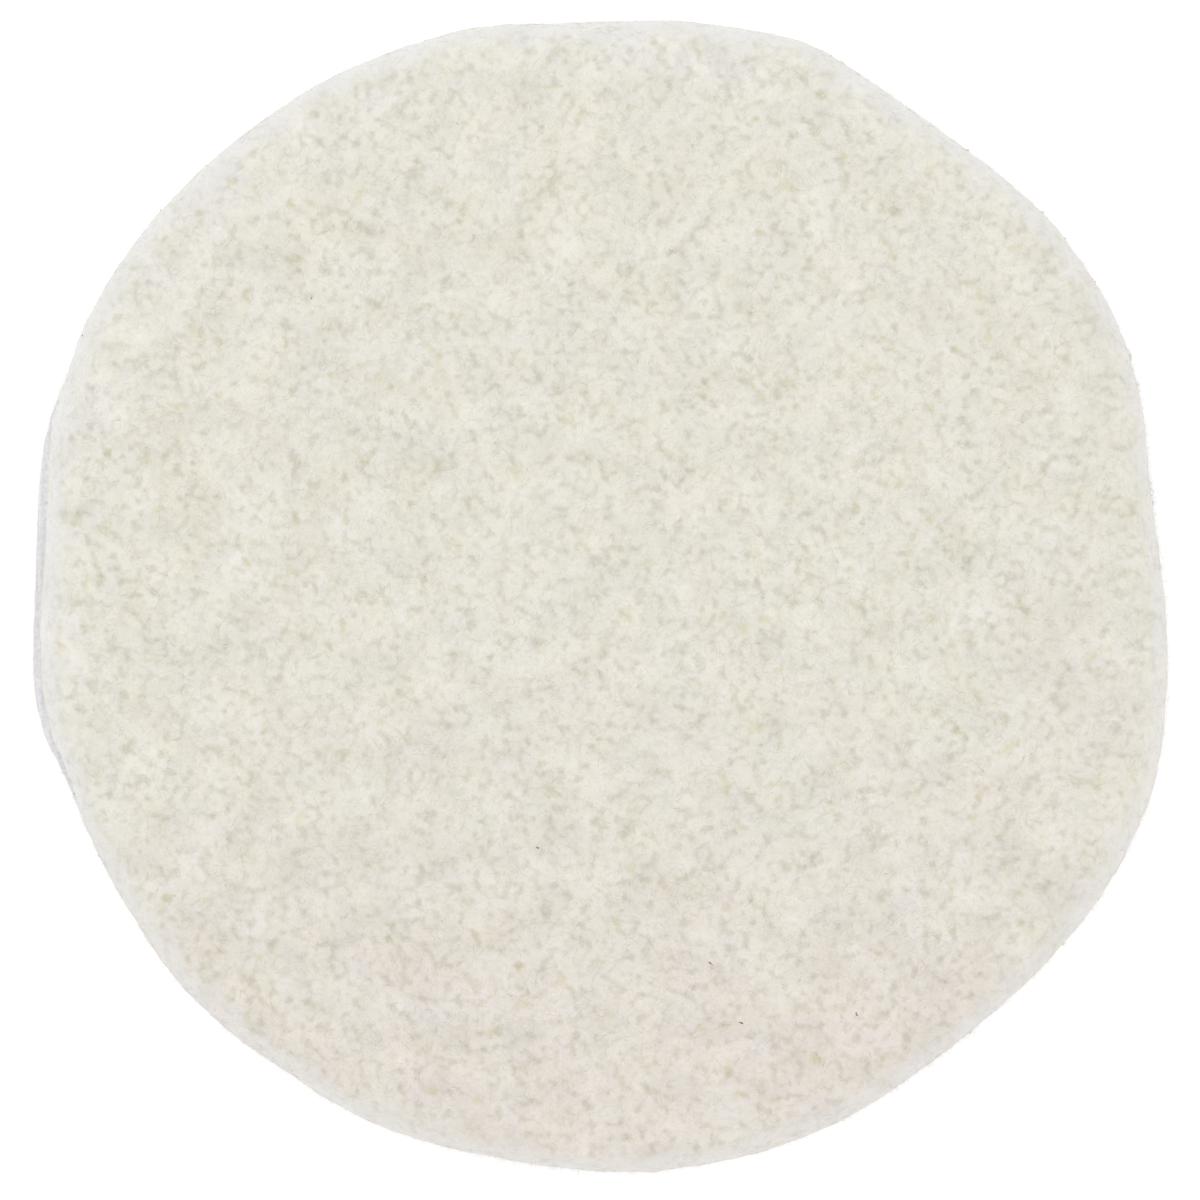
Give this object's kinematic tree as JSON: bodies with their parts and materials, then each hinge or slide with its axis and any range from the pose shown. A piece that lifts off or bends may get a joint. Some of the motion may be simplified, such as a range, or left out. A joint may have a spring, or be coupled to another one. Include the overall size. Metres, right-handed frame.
{
  "type": "polishing pad",
  "caption": "Round hand-trimmed needled felt polishing pad with a rounded face edge, an inner scrim and a hook-and-loop backing.",
  "frame": {"origin": "on the loop face of the backing at the spin axis, which is the middle of the disc", "axes": "+Z is the outward normal of the working face, so the loops face -Z; +Y points to the top of the disc as it lies face up and +X to its right"},
  "size_m": [0.1292, 0.1307, 0.01],
  "materials": {
    "face_felt": "matte off-white needled felt with a fine open grain",
    "base_felt": "matte off-white needled felt, cut edge",
    "scrim_yarn": "flat white polyester yarn",
    "glue_film": "thin milky hot-melt film",
    "loop_ground": "fine warp-knitted ground, neutral light grey",
    "loop_pile": "soft raised loops, neutral light grey"
  },
  "bodies": {
    "root": {"face_felt": "face_felt", "scrim_weft": "scrim_yarn", "scrim_warp": "scrim_yarn", "base_felt": "base_felt", "glue_film": "glue_film", "loop_ground": "loop_ground", "loop_pile": "loop_pile"}
  },
  "joints": []
}
